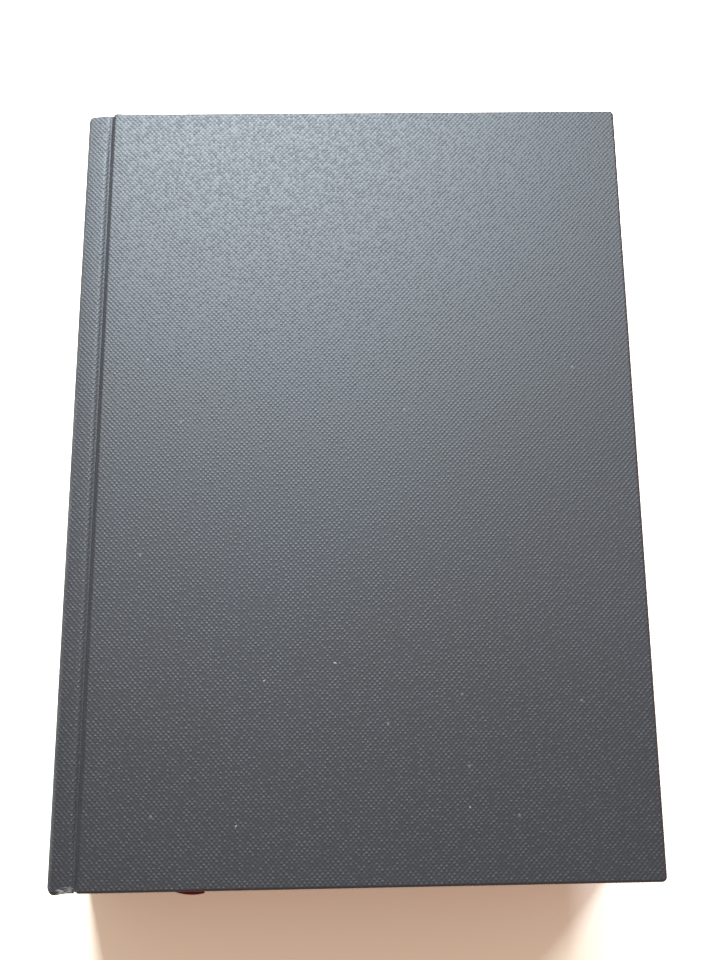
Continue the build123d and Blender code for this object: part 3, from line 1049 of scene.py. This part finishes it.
def roll_band(name, side):
    """A skirt on the back of the pages and a bead round its cord; side is 1 at the head, -1 at the tail."""
    length = (band_high.z - band_low.z) / MM
    end = page_high.y / MM
    cord_x = band_low.x / MM + BAND_RADIUS
    around = [0.0] + steps(0, SKIRT_LENGTH, 6) + steps(SKIRT_LENGTH, SKIRT_LENGTH + BEAD_ARC, 22)
    bm = bmesh.new()
    station_grid(bm, [0.0] + steps(0, length, round(length / WRAP_PITCH) * STATIONS_PER_WRAP), around)
    keep_flat_places(bm, "flat_band")
    for vert in bm.verts:
        z, t = vert.co.xy
        if t <= SKIRT_LENGTH:
            x, y = cord_x - BAND_RADIUS, end - SKIRT_LENGTH + t
        else:
            angle = (t - SKIRT_LENGTH) / BAND_RADIUS
            ridge = WRAP_RIDGE * abs(math.sin(math.pi * z / WRAP_PITCH)) * min(1.0, angle)
            x = cord_x - (BAND_RADIUS - WRAP_RIDGE + ridge) * math.cos(angle)
            y = end + (BAND_RADIUS - WRAP_RIDGE + ridge) * math.sin(angle)
        vert.co = Vector((x * MM, side * y * MM, band_low.z + z * MM))
    if side < 0:
        bmesh.ops.reverse_faces(bm, faces=bm.faces[:])
    piece = finish_mesh(bm, name)
    thicken(piece, "band_thickness", BAND_THICK * MM, 1)
    piece.data.materials.append(band_silk)
    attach(piece, "block")
    return piece


for end_name, side in (("head", 1), ("tail", -1)):
    band = roll_band(f"{end_name}_band_silk", side)
    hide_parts(f"{end_name}_band")
    print(band.name, len(band.data.polygons), "faces")

# %% [markdown]
# ## Pieces kept from the model
# The block of pages, the boards, the flyleaves, the mull and the lining paper stay as the model has them.
# Each only gets its finish: stained pages, grey-brown pressed board, ivory endpaper, open starched gauze
# and brown kraft paper. The gauze is two sets of strands, one along the spine and one across it.

# %% Finishes of the kept pieces
STRAND_PITCH = 1.1 * MM
GAUZE_HOLE = (0.48, 0.4, 0.28, 1)
GAUZE_STRAND = (0.78, 0.74, 0.64, 1)


def make_gauze():
    material, tree, shader = new_material("mull_gauze")
    body = node(tree, "ShaderNodeTexCoord").outputs["Object"]
    place = node(tree, "ShaderNodeSeparateXYZ", {0: body})
    strands = []
    for axis in (1, 2):
        turns = math_node(tree, "MULTIPLY", place.outputs[axis], 2 * math.pi / STRAND_PITCH)
        strands.append(math_node(tree, "ABSOLUTE", math_node(tree, "SINE", turns)))
    strand = math_node(tree, "MAXIMUM", *strands)
    cloth = mix_colour(tree, ramp(tree, strand, 0.75, 0.95), GAUZE_HOLE, GAUZE_STRAND)
    tree.links.new(cloth, shader.inputs["Base Color"])
    shader.inputs["Roughness"].default_value = 0.85
    add_bump(tree, shader, strand, 0.15 * MM, 0.8)
    return material


gauze = make_gauze()
finishes = {
    "text_block": stained_pages,
    "front_flyleaf": endpaper,
    "back_flyleaf": endpaper,
    "front_board": binders_board,
    "back_board": binders_board,
    "spine_board": binders_board,
    "spine_lining": kraft_lining,
    "mull": gauze,
}
for name, material in finishes.items():
    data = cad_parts[name].data
    data.materials.clear()
    data.materials.append(material)
print("finished", len(finishes), "model nodes")

# %% [markdown]
# ## Floor
# The book lies on a plain pale table. The photograph is exposed for the dark cloth, so the table comes out
# white wherever a lamp reaches it, and only the full shadow below the tail keeps a tan tone. Light Path
# gives the camera alone such a brighter table, with a glow far from the book and at its right, where the
# photograph shows no shadow at all. The light that the table sends back to the book, and its reflection in
# the glossy threads, stay those of a plain pale one.

# %% Floor
TABLE = (0.88, 0.88, 0.87, 1)
TABLE_SEEN = (4.12, 3.56, 3.0, 1)
TABLE_SIZE = 3.0
GLOW_REACH = (0.2, 0.7)
# Painted light: a glow seen only by the camera, which lights over the lamps' shadow on the table at the
# book's right.
PAINTED_GLOW_BESIDE_BOOK = (0.058, 0.070, 0.0, 0.35)


def make_floor():
    bm = bmesh.new()
    bmesh.ops.create_grid(bm, x_segments=1, y_segments=1, size=TABLE_SIZE)
    floor = finish_mesh(bm, "pale_floor", smooth_faces=False)
    material, tree, shader = new_material("pale_floor")
    seen = node(tree, "ShaderNodeLightPath").outputs["Is Camera Ray"]
    tree.links.new(mix_colour(tree, seen, TABLE, TABLE_SEEN), shader.inputs["Base Color"])
    shader.inputs["Roughness"].default_value = 0.9
    shader.inputs["Specular IOR Level"].default_value = 0.1
    place = node(tree, "ShaderNodeTexCoord").outputs["Object"]
    away = node(tree, "ShaderNodeVectorMath", {0: place}, operation="LENGTH").outputs["Value"]
    shader.inputs["Emission Color"].default_value = (1, 1, 1, 1)
    beside = node(tree, "ShaderNodeSeparateXYZ", {0: place}).outputs[0]
    glow = math_node(tree, "MAXIMUM", ramp(tree, away, *GLOW_REACH), ramp(tree, beside, *PAINTED_GLOW_BESIDE_BOOK))
    tree.links.new(math_node(tree, "MULTIPLY", seen, glow), shader.inputs["Emission Strength"])
    floor.data.materials.append(material)
    return floor


floor = make_floor()
print("floor:", floor.name, 2 * TABLE_SIZE, "m wide")

# %% [markdown]
# ## Light
# Three soft lights stand beyond the head of the book, like parts of a window, and throw its shadow towards
# the viewer. The nearest one, at the left, gives the cloth its cool sheen, strongest at the upper left, and
# the high one spreads that sheen over the middle. The third stands far to the right and only softens the
# shadow, so it is hidden from glossy rays.

# %% Lamps
BOOK_MIDDLE = (0, 0.02, 0.02)


def area_light(name, place, aim, size, power, colour):
    """A soft rectangular lamp at a place in metres, turned towards its aim."""
    data = bpy.data.lights.new(name, "AREA")
    data.shape = "RECTANGLE"
    data.size, data.size_y = size
    data.energy = power
    data.color = colour
    lamp = bpy.data.objects.new(name, data)
    bpy.context.scene.collection.objects.link(lamp)
    turn = (Vector(aim) - Vector(place)).to_track_quat("-Z", "Y").to_matrix().to_4x4()
    lamp.matrix_world = Matrix.Translation(place) @ turn
    print(name, power, "W")
    return lamp


area_light("window_left", place=(-0.12, 0.52, 0.50), aim=BOOK_MIDDLE, size=(0.24, 0.2),
           power=5.2, colour=(0.79, 0.915, 1.0))
area_light("window_top", place=(0.06, 0.48, 0.72), aim=BOOK_MIDDLE, size=(0.3, 0.2),
           power=0.96, colour=(0.82, 0.95, 1.0))
side_window = area_light("window_right", place=(0.75, 0.85, 0.70), aim=(0, 0, 0), size=(0.3, 0.3),
                         power=4.8, colour=(0.85, 0.94, 1.0))
side_window.visible_glossy = False

# %% [markdown]
# ## The room
# The world is the rest of the room: dim and warm, so the shadow on the table is tan and never black. The
# camera sees it white, as the burnt-out surroundings of the photograph. The view transform is the plain
# one, in which a value of 1 is white.

# %% Room
ROOM_FILL = (0.168, 0.144, 0.124, 1)
WHITE = (1, 1, 1, 1)


def make_room():
    """A dim warm fill, which the camera itself sees as white."""
    world = bpy.data.worlds.new("room")
    bpy.context.scene.world = world
    world.use_nodes = True
    tree = world.node_tree
    background = tree.nodes["Background"]
    seen = node(tree, "ShaderNodeLightPath").outputs["Is Camera Ray"]
    tree.links.new(mix_colour(tree, seen, ROOM_FILL, WHITE), background.inputs["Color"])
    return world


print("world:", make_room().name)
bpy.context.scene.view_settings.view_transform = "Standard"
